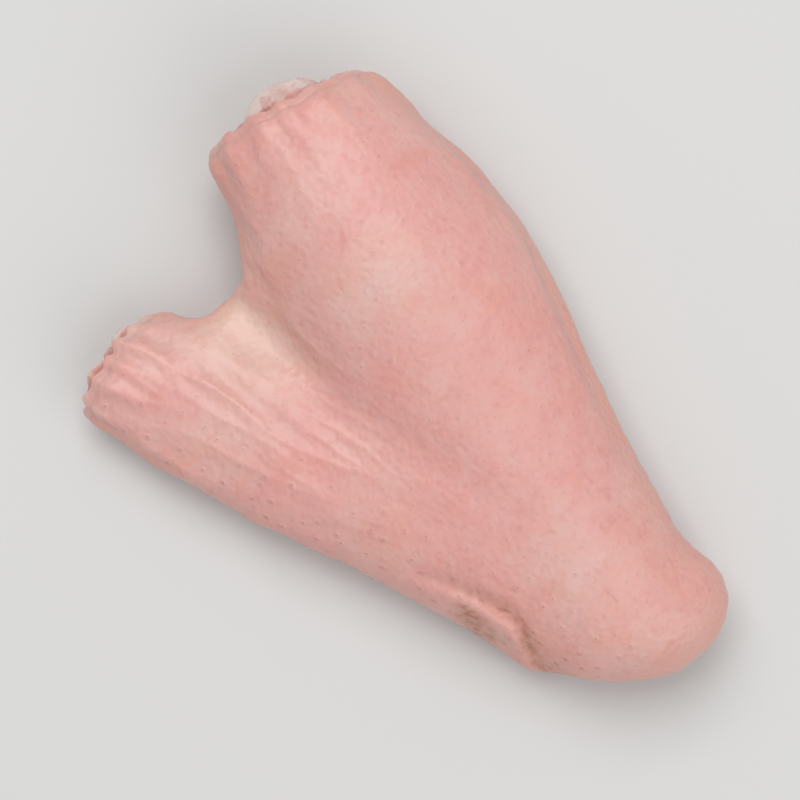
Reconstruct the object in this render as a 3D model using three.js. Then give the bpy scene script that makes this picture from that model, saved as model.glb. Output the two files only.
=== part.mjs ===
// Raw chicken wing, folded at the elbow and lying skin side up.
//
// The wing is cut from the bird at the shoulder and trimmed at the wrist, so two limbs are left. The upper
// one is the thick drumette, the lower one the flat, and both meet at the elbow, the blunt end that points
// to -Y. A web of skin and thin muscle spans the angle between them and ends in a free edge, and a soft roll
// of skin trails along the outer side of the flat. Flesh, skin and bone hold together as one piece, so the
// model is one solid. It rests on the flat spots where its underside sags onto the surface.
//
// Sizes are in millimetres. +Z is up, +Y runs from the elbow towards the two cut ends, and the origin is on
// the resting plane under the middle of the piece.

import * as THREE from "three";
import { ParametricGeometry } from "three/addons/geometries/ParametricGeometry.js";
import { mergeVertices } from "three/addons/utils/BufferGeometryUtils.js";

// The limbs and the skin roll. Each starts near the elbow, points at its angle from +Y and ends in a cut
// whose middle is at the tip height. Half-widths and half-thicknesses ease from the elbow to the cut, and the
// muscle belly swells past that taper. Where its skew is over 1 it is fullest past the middle. The slant says
// how much earlier the cut comes for each millimetre inwards and upwards.
const DRUMETTE = {
  start: new THREE.Vector3(4.2, -39.4, 10),
  angle: THREE.MathUtils.degToRad(9),
  length: 86,
  tipHeight: 11.8,
  halfWidth: { elbow: 10.3, cut: 13.2, belly: 5.6, skew: 1.45 },
  halfThickness: { elbow: 10.2, cut: 11.8, belly: 2.8, skew: 1.6 },
  slant: { inwards: -0.12, upwards: -0.1 },
};
const FLAT = {
  start: new THREE.Vector3(-1, -34.2, 9.2),
  angle: THREE.MathUtils.degToRad(-18),
  length: 76,
  tipHeight: 6.4,
  halfWidth: { elbow: 10, cut: 9.4, belly: 1.6, skew: 1.6 },
  halfThickness: { elbow: 9.6, cut: 6.8, belly: 0.6, skew: 1 },
  slant: { inwards: 0.1, upwards: -0.15 },
};
const SKIN_ROLL = {
  start: new THREE.Vector3(-9.2, -33, 5.8),
  angle: THREE.MathUtils.degToRad(-11),
  length: 60,
  tipHeight: 3.8,
  halfWidth: { elbow: 4.2, cut: 1.8, belly: 0.4, skew: 1 },
  halfThickness: { elbow: 3.4, cut: 1.8, belly: 0.6, skew: 1 },
  slant: { inwards: 0, upwards: 0 },
};

// The knob of the elbow joint, which fills out the corner of the heel.
const ELBOW_KNOB = { middle: new THREE.Vector3(8, -42.4, 9.8), radius: 7 };

// The crease that parts the skin roll from the flat: how far it lies from the flat's bone at the elbow, where
// it leaves the rim, and further up, over which lengths along the flat it leaves the rim, comes and goes, over
// which heights it shows, and its depth and width, with the swell of the skin outside it.
const CREASE = {
  inset: { rim: 11.2, flat: 6.4 },
  leavesRim: { from: 1.5, to: 9.5 },
  comes: { from: 1, to: 9 },
  goes: { from: 18, to: 42 },
  shows: { from: 3, to: 8 },
  depth: 1.4,
  width: 1.9,
  swell: { height: 0.4, offset: 3, width: 1.8 },
};

// The web: how far its free edge lies from the elbow, how that edge slopes and curves, how high the sheet
// runs over the bones, and its half-thickness near the elbow, where muscle fills it, and at the free edge,
// where it is skin. It starts past the elbow, and its borders lie inside the limbs by a share of its
// half-thickness. Where those borders meet, their corners are rounded. Its small folds have this many waves
// per radian round the elbow.
const WEB_REACH = 68.5;
const WEB_EDGE_SLOPE = 0.14;
const WEB_EDGE_CURVE = 0.009;
const WEB_RISE = 0.6;
const WEB_HALF_THICKNESS = { elbow: 9.6, edge: 2.2 };
const WEB_MUSCLE = { from: 18, to: 66 };
const WEB_START = 8;
const WEB_INSET = 0.6;
const WEB_CORNER_ROUNDING = 8;
const WEB_EDGE_ROUNDING = 3;
const GATHERS = 26;
const GATHER_DEPTH = 0.7;

// Bone ends that stand out of the two cuts: radius, how far the middle lies behind the cut, and how far it
// lies towards the inside of the fold.
const HUMERUS_HEAD = { radius: 7.6, depth: 3.4, inwards: 0.5 };
const WRIST_KNOB = { radius: 5.8, depth: 3.2, inwards: 0 };

// Radii over which neighbouring forms run into each other under the skin.
const LIMB_BLEND = 5;
const KNOB_BLEND = 3;
const WEB_BLEND = 7;
const ROLL_BLEND = 4;
const BONE_BLEND = 3;
const CUT_ROUNDING = 4.5;
const FLOOR_ROUNDING = 1.6;

// Mesh fineness: columns round the outline, and rows under the base, round the side and over the top. The
// columns share out the outline's length plus this radius times the angle that it turns through.
const COLUMNS = 136;
const BASE_ROWS = 8;
const SIDE_ROWS = 18;
const TOP_ROWS = 14;
const TURN_RADIUS = 8;

const RAY_REACH = 40;
const RAY_HALVINGS = 32;
const OUTLINE_SAMPLES = 900;

const UP = new THREE.Vector3(0, 0, 1);

// Smooth union: like the lower of a and b, with the seam between them filled over the given radius.
function smoothMin(a, b, radius) {
  const near = Math.max(radius - Math.abs(a - b), 0) / radius;
  return Math.min(a, b) - (near * near * radius) / 4;
}

// Smooth intersection: like the higher of a and b, with the corner between them rounded.
function smoothMax(a, b, radius) {
  return -smoothMin(-a, -b, radius);
}

// Size at a share of a limb's length: the eased taper plus a sine arch, narrowed a little, for the belly.
function taper(size, share) {
  const along = THREE.MathUtils.clamp(share, 0, 1);
  const arch = Math.max(Math.sin(Math.PI * along ** size.skew), 0);
  const eased = THREE.MathUtils.smoothstep(along, 0, 1);
  return THREE.MathUtils.lerp(size.elbow, size.cut, eased) + size.belly * arch ** 1.5;
}

// A limb with its own axes: along the bone, inwards across it towards the middle of the fold, and upwards.
function placeLimb(limb) {
  const heading = new THREE.Vector3(Math.sin(limb.angle), Math.cos(limb.angle), 0);
  const tip = limb.start.clone().addScaledVector(heading, limb.length).setZ(limb.tipHeight);
  const along = tip.clone().sub(limb.start).normalize();
  const inwards = UP.clone().cross(along).normalize();
  const lift = along.clone().cross(inwards);
  if (limb.angle < 0) inwards.negate();
  return { ...limb, tip, along, inwards, lift, reach: limb.start.distanceTo(tip) };
}

const drumette = placeLimb(DRUMETTE);
const flat = placeLimb(FLAT);
const skinRoll = placeLimb(SKIN_ROLL);
const elbow = drumette.start.clone().lerp(flat.start, 0.5);

// How far a point lies along a limb, inwards across it and up from it.
function limbCoordinates(limb, point) {
  const offset = point.clone().sub(limb.start);
  return {
    along: offset.dot(limb.along),
    across: offset.dot(limb.inwards),
    up: offset.dot(limb.lift),
  };
}

// Distance to a limb: a tapered body of elliptical section, with a round end at the elbow and a slanting cut
// with a rounded rim at its tip.
function limbDistance(limb, point) {
  const { along, across, up } = limbCoordinates(limb, point);
  const share = along / limb.reach;
  const halfWidth = taper(limb.halfWidth, share);
  const halfThickness = taper(limb.halfThickness, share);
  const small = Math.min(halfWidth, halfThickness);
  const behind = Math.min(along, 0) / halfWidth;
  const body = (Math.hypot(across / halfWidth, up / halfThickness, behind) - 1) * small;
  const pastCut = along + limb.slant.inwards * across + limb.slant.upwards * up - limb.reach;
  return smoothMax(body, pastCut, Math.min(CUT_ROUNDING, small));
}

// Height over the resting plane of the sloping plane that holds the elbow and both tips.
const bonePlane = new THREE.Plane().setFromCoplanarPoints(elbow, drumette.tip, flat.tip);
function boneHeight(x, y) {
  return -(bonePlane.normal.x * x + bonePlane.normal.y * y + bonePlane.constant) / bonePlane.normal.z;
}

// The web's free edge, a shallow sloping arc across the fold: its y at each x.
const webMiddle = (drumette.tip.x + flat.tip.x) / 2;
function webEdge(x) {
  const across = x - webMiddle;
  return elbow.y + WEB_REACH + WEB_EDGE_SLOPE * across + WEB_EDGE_CURVE * across ** 2;
}

// Distance to the web: a sheet over the plane of the bones, from one bone to the other. It thins towards its
// free edge and gathers into small folds that spread from the elbow.
function webDistance(point) {
  const { x, y, z } = point;
  const fromElbow = Math.hypot(x - elbow.x, y - elbow.y);
  const spread = Math.atan2(x - elbow.x, y - elbow.y);
  const thinned = THREE.MathUtils.smoothstep(fromElbow, WEB_MUSCLE.from, WEB_MUSCLE.to);
  const halfThickness = THREE.MathUtils.lerp(WEB_HALF_THICKNESS.elbow, WEB_HALF_THICKNESS.edge, thinned);
  const inset = WEB_INSET * halfThickness;
  const pastEdge = y - webEdge(x) + halfThickness;
  const pastDrumette = inset - point.clone().sub(drumette.start).dot(drumette.inwards);
  const pastFlat = inset - point.clone().sub(flat.start).dot(flat.inwards);
  const beside = smoothMax(pastDrumette, pastFlat, WEB_CORNER_ROUNDING);
  const before = smoothMax(beside, elbow.y + WEB_START - y, WEB_CORNER_ROUNDING);
  const outside = Math.max(smoothMax(pastEdge, before, WEB_EDGE_ROUNDING), 0);
  const gather = GATHER_DEPTH * thinned * Math.cos(GATHERS * spread);
  const above = z - boneHeight(x, y) - WEB_RISE - gather;
  return Math.hypot(outside, above) - halfThickness;
}

// How deep the crease beside the skin roll is at a point: a bell-shaped groove that wanders a little along the
// flat, less the swell of the skin outside it.
function creaseDepth(point) {
  const { smoothstep, lerp } = THREE.MathUtils;
  const { along, across } = limbCoordinates(flat, point);
  const leaving = smoothstep(along, CREASE.leavesRim.from, CREASE.leavesRim.to);
  const line = lerp(CREASE.inset.rim, CREASE.inset.flat, leaving);
  const wander = 0.5 * Math.sin(along / 3.1) * smoothstep(along, 4, 12);
  const offset = across + line + wander;
  const coming = smoothstep(along, CREASE.comes.from, CREASE.comes.to);
  const going = 1 - smoothstep(along, CREASE.goes.from, CREASE.goes.to);
  const showing = smoothstep(point.z, CREASE.shows.from, CREASE.shows.to);
  const groove = CREASE.depth * Math.exp(-((offset / CREASE.width) ** 2));
  const { height, offset: outside, width } = CREASE.swell;
  const swell = height * Math.exp(-(((offset + outside) / width) ** 2));
  return coming * going * showing * (groove - swell);
}

// Distance to a round bone end in a limb's cut.
function boneDistance(limb, bone, point) {
  const middle = limb.tip
    .clone()
    .addScaledVector(limb.along, -bone.depth)
    .addScaledVector(limb.inwards, bone.inwards);
  return point.distanceTo(middle) - bone.radius;
}

// Signed distance to the whole wing, negative inside it.
function wingDistance(point) {
  const limbs = smoothMin(limbDistance(drumette, point), limbDistance(flat, point), LIMB_BLEND);
  const knob = point.distanceTo(ELBOW_KNOB.middle) - ELBOW_KNOB.radius;
  const webbed = smoothMin(smoothMin(limbs, knob, KNOB_BLEND), webDistance(point), WEB_BLEND);
  const rolled = smoothMin(webbed, limbDistance(skinRoll, point), ROLL_BLEND);
  const skinned = rolled + creaseDepth(point);
  const bones = Math.min(
    boneDistance(drumette, HUMERUS_HEAD, point),
    boneDistance(flat, WRIST_KNOB, point),
  );
  return smoothMax(smoothMin(skinned, bones, BONE_BLEND), -point.z, FLOOR_ROUNDING);
}

// Where a ray from inside leaves the wing, found by halving.
function surfacePoint(origin, direction, target = new THREE.Vector3()) {
  let inside = 0;
  let outside = RAY_REACH;
  for (let step = 0; step < RAY_HALVINGS; step++) {
    const middle = (inside + outside) / 2;
    target.copy(origin).addScaledVector(direction, middle);
    if (wingDistance(target) < 0) inside = middle;
    else outside = middle;
  }
  return target.copy(origin).addScaledVector(direction, inside);
}

// A point on the plane of the bones beside a limb's axis.
function corePoint(limb, share, inwards) {
  const point = limb.start
    .clone()
    .addScaledVector(limb.along, share * limb.reach)
    .addScaledVector(limb.inwards, inwards);
  return point.setZ(boneHeight(point.x, point.y));
}

// The core's edge: a closed curve on the plane of the bones that keeps well inside the flesh, round the
// elbow, up the drumette, along the web's free edge and down the flat.
const notch = new THREE.Vector3(webMiddle, webEdge(webMiddle) - 5, 0);
notch.setZ(boneHeight(notch.x, notch.y));
const drumetteSide = [
  corePoint(drumette, -0.055, 3.5),
  corePoint(drumette, -0.03, -2.5),
  corePoint(drumette, 0.1, -4.5),
  corePoint(drumette, 0.4, -5),
  corePoint(drumette, 0.68, -6),
  corePoint(drumette, 0.86, -5),
  corePoint(drumette, 0.9, 0),
  corePoint(drumette, 0.86, 5),
];
const flatSide = [
  corePoint(flat, 0.87, 3.5),
  corePoint(flat, 0.91, 0),
  corePoint(flat, 0.87, -3.5),
  corePoint(flat, 0.65, -5),
  corePoint(flat, 0.35, -5),
  corePoint(flat, 0.08, -4),
];
const coreEdge = new THREE.CatmullRomCurve3([...drumetteSide, notch, ...flatSide], true, "centripetal");
const notchShare = drumetteSide.length / (drumetteSide.length + 1 + flatSide.length);

// Stations along the core's edge from one share of it to another, spaced evenly as seen from outside. Each
// holds the point on the core and the level direction that leads straight outwards from it.
function evenStations(from, to, count) {
  const samples = [];
  let length = 0;
  for (let i = 0; i <= OUTLINE_SAMPLES; i++) {
    const share = THREE.MathUtils.lerp(from, to, i / OUTLINE_SAMPLES) % 1;
    const core = coreEdge.getPoint(share);
    const tangent = coreEdge.getTangent(share);
    const outward = new THREE.Vector3(tangent.y, -tangent.x, 0).normalize();
    const rim = surfacePoint(core, outward);
    const last = samples.at(-1);
    if (last) length += rim.distanceTo(last.rim) + TURN_RADIUS * outward.angleTo(last.outward);
    samples.push({ core, outward, rim, length });
  }
  return Array.from({ length: count + 1 }, (_, n) => {
    const wanted = (length * n) / count;
    const next = Math.max(1, samples.findIndex((sample) => sample.length >= wanted - 1e-9));
    const before = samples[next - 1];
    const after = samples[next];
    const share = (wanted - before.length) / (after.length - before.length || 1);
    return {
      core: before.core.clone().lerp(after.core, share),
      outward: before.outward.clone().lerp(after.outward, share).normalize(),
    };
  });
}

const half = COLUMNS / 2;
const stations = [...evenStations(0, notchShare, half).slice(0, -1), ...evenStations(notchShare, 1, half)];

// A station at any share of the way round.
function stationAt(share) {
  const place = (share % 1) * COLUMNS;
  const index = Math.floor(place);
  const before = stations[index];
  const after = stations[index + 1];
  return {
    core: before.core.clone().lerp(after.core, place - index),
    outward: before.outward.clone().lerp(after.outward, place - index).normalize(),
  };
}

// The seam that the rows close on, above and below: a line along the middle of the fold. Both sides of the
// wing meet on it, so a share and its remainder give the same point.
const seamElbowEnd = elbow.clone().add(new THREE.Vector3(0.5, 2, 0));
const seamWebEnd = notch.clone().add(new THREE.Vector3(1, -12, 0));
function seamPoint(share) {
  const straight = 1 - Math.abs(1 - 2 * share);
  const eased = (1 - Math.cos(2 * Math.PI * share)) / 2;
  return seamElbowEnd.clone().lerp(seamWebEnd, (straight + eased) / 2);
}

// The skin as a function of two shares: u runs round the outline from the elbow, and v runs from the seam
// below round the side to the seam on top. Rays go straight down from the core, fan round its edge, then go
// straight up.
const ROWS = BASE_ROWS + SIDE_ROWS + TOP_ROWS;
function skinPoint(u, v, target) {
  const { core, outward } = stationAt(u);
  const row = v * ROWS;
  const underBase = THREE.MathUtils.clamp(row / BASE_ROWS, 0, 1);
  const roundSide = THREE.MathUtils.clamp((row - BASE_ROWS) / SIDE_ROWS, 0, 1);
  const overTop = THREE.MathUtils.clamp((ROWS - row) / TOP_ROWS, 0, 1);
  const origin = seamPoint(u).lerp(core, Math.min(overTop, underBase));
  origin.setZ(boneHeight(origin.x, origin.y));
  const angle = Math.PI * (roundSide - 0.5);
  const direction = outward.clone().multiplyScalar(Math.cos(angle)).addScaledVector(UP, Math.sin(angle));
  return surfacePoint(origin, direction.normalize(), target);
}

// The wing's geometry: the surface with its seams merged into one closed body, moved so that it rests on
// the plane of z = 0 with the origin under its middle.
function wingGeometry() {
  const surface = new ParametricGeometry(skinPoint, COLUMNS, ROWS);
  surface.deleteAttribute("normal");
  surface.deleteAttribute("uv");
  const closed = mergeVertices(surface, 1e-3);
  closed.computeBoundingBox();
  const middle = closed.boundingBox.getCenter(new THREE.Vector3());
  closed.translate(-middle.x, -middle.y, -closed.boundingBox.min.z);
  closed.computeVertexNormals();
  return closed;
}

const rawSkin = new THREE.MeshStandardMaterial({ color: 0xdca79e, roughness: 0.42, metalness: 0 });

const wing = new THREE.Mesh(wingGeometry(), rawSkin);
wing.name = "wing";

const chickenWing = new THREE.Group();
chickenWing.name = "raw_chicken_wing";
chickenWing.add(wing);

export default chickenWing;
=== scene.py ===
"""Looks of a raw chicken wing, folded at the elbow and lying skin side up.

The wing's skin is one surface. A smooth form says how far any point lies from the wing: two tapered limbs,
the web of skin between them and the roll of skin that trails along the flat, all run into each other. Rays
from a core inside the flesh find where that form ends, and folds, gathers and wrinkles are then raised on it.
Both cuts are dressed with a lip of skin, the cut flesh and the ends of the bones.

Forms are worked out in millimetres in the wing's own frame and put into the meshes in metres.
"""

import logging
import math
from abc import ABC, abstractmethod
from dataclasses import dataclass, field
from enum import Enum
from typing import ClassVar

import bmesh
import bpy
import numpy as np
from mathutils import Matrix, Vector

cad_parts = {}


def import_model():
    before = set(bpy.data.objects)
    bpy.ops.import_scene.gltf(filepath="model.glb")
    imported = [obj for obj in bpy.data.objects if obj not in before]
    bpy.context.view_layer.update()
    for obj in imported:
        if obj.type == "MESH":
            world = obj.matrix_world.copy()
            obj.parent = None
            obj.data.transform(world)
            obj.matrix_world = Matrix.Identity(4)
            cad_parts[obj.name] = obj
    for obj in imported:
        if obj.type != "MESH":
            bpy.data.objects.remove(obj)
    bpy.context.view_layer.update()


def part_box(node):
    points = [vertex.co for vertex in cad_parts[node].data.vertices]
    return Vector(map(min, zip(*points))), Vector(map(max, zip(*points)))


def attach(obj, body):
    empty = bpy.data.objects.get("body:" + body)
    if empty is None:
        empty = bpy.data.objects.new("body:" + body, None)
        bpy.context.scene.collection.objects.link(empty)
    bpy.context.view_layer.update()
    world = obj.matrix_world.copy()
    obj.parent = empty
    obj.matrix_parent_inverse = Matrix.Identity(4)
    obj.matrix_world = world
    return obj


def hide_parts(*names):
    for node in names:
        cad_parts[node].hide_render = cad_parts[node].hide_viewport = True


Array = np.ndarray
Inputs = dict[str, object]
Material = bpy.types.Material
Piece = bpy.types.Object
Socket = bpy.types.NodeSocket
Tree = bpy.types.NodeTree
# Three numbers for the axes, two that belong together, and the height, rate and seed of a noise layer
Place = tuple[float, float, float]
Pair = tuple[float, float]
Layer = tuple[float, float, int]

LOG = logging.getLogger("chicken_wing")

MM = 0.001
NODE = "wing"
BODY = "root"
UP = np.array([0.0, 0.0, 1.0])
FULL_TURN = 2.0 * np.pi

# What the hash behind the noise multiplies by, the noise's gain and the level that ridges rise from
AXIS_PRIMES = (374761393, 668265263, 2147483647)
SEED_PRIME = 2654435761
MIX_PRIME = 1274126177
HALF_WORD = 0xFFFF
NOISE_GAIN = 1.6
RIDGE_LEVEL = 0.4


# Numbers and noise


def ease(low: float, high: float, value: Array) -> Array:
    """The share of the way from low to high, clamped and eased at both ends as 3t^2 - 2t^3."""
    t = np.clip((value - low) / (high - low), 0.0, 1.0)
    return t * t * (3.0 - 2.0 * t)


def bell(value: Array, width: float) -> Array:
    """A bell curve: e to the power of minus the square of the value over the width."""
    return np.exp(-((value / width) ** 2))


def blob(points: Array, middle: Array, sizes: Place) -> Array:
    """A bell curve of the distance from a middle, measured along each axis in units of that axis's size."""
    return bell(np.linalg.norm((points - middle) / sizes, axis=-1), 1.0)


def smooth_min(a: Array, b: Array, radius: float) -> Array:
    """Smooth union of two distances: the lower one, less a fillet where they are within the radius."""
    near = np.maximum(radius - np.abs(a - b), 0.0) / radius
    return np.minimum(a, b) - near * near * radius / 4.0


def smooth_max(a: Array, b: Array, radius: float) -> Array:
    """Smooth intersection of two distances: the higher one, with its corner rounded."""
    return -smooth_min(-a, -b, radius)


def unit(vectors: Array) -> Array:
    """Each vector divided by its length."""
    return vectors / np.maximum(np.linalg.norm(vectors, axis=-1, keepdims=True), 1e-12)


def on_circle(turn: Array, third: Array | float) -> Array:
    """Places on the unit circle at turns in radians, with a third coordinate, so that noise there closes."""
    return np.stack([np.cos(turn), np.sin(turn), np.broadcast_to(third, turn.shape)], axis=-1)


def lattice_gradients(cells: Array, seed: int) -> Array:
    """A fixed random direction for each lattice cell.

    A hash multiplies and mixes the coordinates' bits. Its low half gives the turn and its high half the rise.

    Args:
        cells: whole-number cell coordinates, (..., 3).
        seed: picks one of the endless fields.

    Returns:
        Unit vectors, (..., 3).
    """
    mixed = np.uint32(seed * 97 + 13) * np.uint32(SEED_PRIME)
    for axis, prime in enumerate(AXIS_PRIMES):
        mixed = mixed + cells[..., axis].astype(np.int64).astype(np.uint32) * np.uint32(prime)
    mixed = (mixed ^ (mixed >> np.uint32(13))) * np.uint32(MIX_PRIME)
    mixed = mixed ^ (mixed >> np.uint32(16))
    turn = (mixed & np.uint32(HALF_WORD)).astype(float) / HALF_WORD * FULL_TURN
    rise = (mixed >> np.uint32(16)).astype(float) / HALF_WORD * 2.0 - 1.0
    flat = np.sqrt(np.maximum(1.0 - rise * rise, 0.0))
    return np.stack([flat * np.cos(turn), flat * np.sin(turn), rise], axis=-1)


def noise(points: Array, seed: int) -> Array:
    """Gradient noise, about -1 to 1, with features one unit wide.

    Each point blends the eight dot products of the corner directions with the offsets from those corners, by
    the weight 6t^5 - 15t^4 + 10t^3 along each axis.

    Args:
        points: places in cell units, (..., 3).
        seed: picks the field.

    Returns:
        The noise at each place.
    """
    with np.errstate(over="ignore"):
        cell = np.floor(points)
        offset = points - cell
        eased = offset ** 3 * (offset * (offset * 6.0 - 15.0) + 10.0)
        total = np.zeros(points.shape[:-1])
        for corner in np.ndindex(2, 2, 2):
            at = np.array(corner, dtype=float)
            weight = np.prod(np.where(at > 0, eased, 1.0 - eased), axis=-1)
            total += weight * np.sum(lattice_gradients(cell + at, seed) * (offset - at), axis=-1)
    return total * NOISE_GAIN


def layered(points: Array, layers: tuple[Layer, ...]) -> Array:
    """The sum of layers of noise, each its height times the noise at the points times its rate."""
    return sum(height * noise(points * rate, seed) for height, rate, seed in layers)


def ridges(points: Array, sizes: Place, seed: int) -> Array:
    """Ridges of these sizes with narrow crests: one less the noise's size, squared, less a middle level."""
    return (1.0 - np.minimum(np.abs(noise(points / np.array(sizes), seed)), 1.0)) ** 2 - RIDGE_LEVEL


# The wing's form


@dataclass(frozen=True)
class Taper:
    """A size along a limb, in mm, at the elbow and at the cut, with the swell of the muscle belly."""

    elbow: float
    cut: float
    belly: float
    skew: float

    def at(self, share: Array) -> Array:
        """An eased taper plus a sine arch to the power 1.5 for the belly, at shares of the limb's length."""
        belly = np.maximum(np.sin(np.pi * np.clip(share, 0.0, 1.0) ** self.skew), 0.0) ** 1.5
        return self.elbow + (self.cut - self.elbow) * ease(0.0, 1.0, share) + self.belly * belly


@dataclass(frozen=True)
class Limb:
    """A limb of the wing: a tapered body of elliptical section from its round elbow end to its cut."""

    start: Place
    angle_deg: float
    length: float
    tip_height: float
    half_width: Taper
    half_thickness: Taper
    slant: Pair
    cut_rounding: float = 4.5

    @property
    def origin(self) -> Array:
        """The middle of the round end."""
        return np.array(self.start)

    @property
    def tip(self) -> Array:
        """The middle of the cut: the start plus the length along the limb's angle, at the tip's height."""
        angle = math.radians(self.angle_deg)
        run = self.length * np.array([math.sin(angle), math.cos(angle)])
        return np.array([self.start[0] + run[0], self.start[1] + run[1], self.tip_height])

    @property
    def reach(self) -> float:
        """The distance from the round end's middle to the cut's middle."""
        return float(np.linalg.norm(self.tip - self.origin))

    @property
    def along(self) -> Array:
        """The direction of the bone, towards the cut."""
        return unit(self.tip - self.origin)

    @property
    def inwards(self) -> Array:
        """The level direction across the bone, towards the middle of the fold."""
        return unit(np.cross(UP, self.along)) * math.copysign(1.0, self.angle_deg)

    @property
    def lift(self) -> Array:
        """The upward direction square to the bone."""
        return np.cross(self.along, unit(np.cross(UP, self.along)))

    def coordinates(self, points: Array) -> tuple[Array, Array, Array]:
        """How far points lie along the limb, inwards across it and up from it, in mm."""
        offset = points - self.origin
        return offset @ self.along, offset @ self.inwards, offset @ self.lift

    def past_cut(self, along: Array, across: Array, upwards: Array) -> Array:
        """How far places on the limb's own axes lie past its slanting cut, in mm."""
        return along + self.slant[0] * across + self.slant[1] * upwards - self.reach

    def distance(self, points: Array) -> Array:
        """How far points lie outside the limb: the ellipse's reach less one, times its smaller half-axis.

        Behind the elbow the ellipse becomes an ellipsoid, and the slanting cut ends it at the tip.

        Args:
            points: places in mm, (..., 3).

        Returns:
            The distance in mm, negative inside.
        """
        along, across, upwards = self.coordinates(points)
        share = along / self.reach
        wide = self.half_width.at(share)
        thick = self.half_thickness.at(share)
        small = np.minimum(wide, thick)
        behind = np.minimum(along, 0.0) / wide
        body = (np.sqrt((across / wide) ** 2 + (upwards / thick) ** 2 + behind ** 2) - 1.0) * small
        return smooth_max(body, self.past_cut(along, across, upwards), np.minimum(self.cut_rounding, small))

    def core(self, share: float, inwards: float) -> Array:
        """A point beside the limb's axis, at a share of its reach and so many mm towards the fold."""
        return self.origin + self.along * share * self.reach + self.inwards * inwards


@dataclass(frozen=True)
class Web:
    """The web of skin and thin muscle that spans the fold, in mm. The waver is a sine's height and rate."""

    reach: float = 68.5
    edge_slope: float = 0.14
    edge_curve: float = 0.009
    rise: float = 0.6
    half_thickness: Pair = (9.6, 2.2)
    muscle: Pair = (18.0, 66.0)
    start: float = 8.0
    inset: float = 0.6
    gathers: float = 26.0
    gather_depth: float = 0.7
    corner_rounding: float = 8.0
    edge_rounding: float = 3.0
    ruffle: float = 0.9
    ruffle_length: float = 6.0
    ruffle_waver: Pair = (1.3, 0.37)
    ruffle_out: float = 0.35
    ruffle_up: float = 0.5

    def ruffle_at(self, x: Array, thin: Array) -> Array:
        """The ruffle of the free edge: a sine along x whose phase wavers by a slower sine."""
        waver = self.ruffle_waver[0] * np.sin(x * self.ruffle_waver[1])
        return self.ruffle * thin * np.sin(x * FULL_TURN / self.ruffle_length + waver)


@dataclass(frozen=True)
class Crease:
    """The crease between the flat and the roll of skin beside it, in mm along and across the flat."""

    inset: Pair = (11.2, 6.4)
    leaves_rim: Pair = (1.5, 9.5)
    comes: Pair = (0.0, 8.0)
    fades: Pair = (32.0, 11.0)
    browns: Pair = (-7.0, -1.0)
    pales: Pair = (26.0, 4.0)
    wander: float = 0.5
    wander_length: float = 3.1
    wander_comes: Pair = (4.0, 12.0)
    depth: float = 0.8
    width: float = 1.0
    puff: float = 0.5
    puff_width: float = 1.9
    puff_shift: float = 1.9
    height: Pair = (2.0, 7.0)

    def offset(self, limb: Limb, points: Array) -> tuple[Array, Array, Array]:
        """Where points lie beside the crease's line, and how strong the crease and its brown are there.

        The line eases from one inset to the other along the flat and wanders by a sine.

        Args:
            limb: the flat.
            points: places in mm, (..., 3).

        Returns:
            The distance across from the line, positive towards the fold, the crease's share from 0 to 1, and
            the like share of its brown and painted shade, which starts nearer the elbow.
        """
        along, across, _ = limb.coordinates(points)
        line = self.inset[0] + (self.inset[1] - self.inset[0]) * ease(*self.leaves_rim, along)
        wander = self.wander * np.sin(along / self.wander_length) * ease(*self.wander_comes, along)
        high = ease(*self.height, points[..., 2])
        strength = ease(*self.fades, along) * ease(*self.comes, along)
        brown = ease(*self.pales, along) * ease(*self.browns, along)
        return across + line + wander, strength * high, brown * high

    def depth_at(self, limb: Limb, points: Array) -> Array:
        """How far the crease sinks the skin: a bell-shaped groove with a softer swell on its outer side.

        Args:
            limb: the flat.
            points: places in mm, (..., 3).

        Returns:
            The depth in mm, negative on the swell.
        """
        across, strength, _ = self.offset(limb, points)
        groove = self.depth * bell(across, self.width)
        swell = self.puff * bell(across + self.puff_shift, self.puff_width)
        return strength * (groove - swell)


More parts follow.
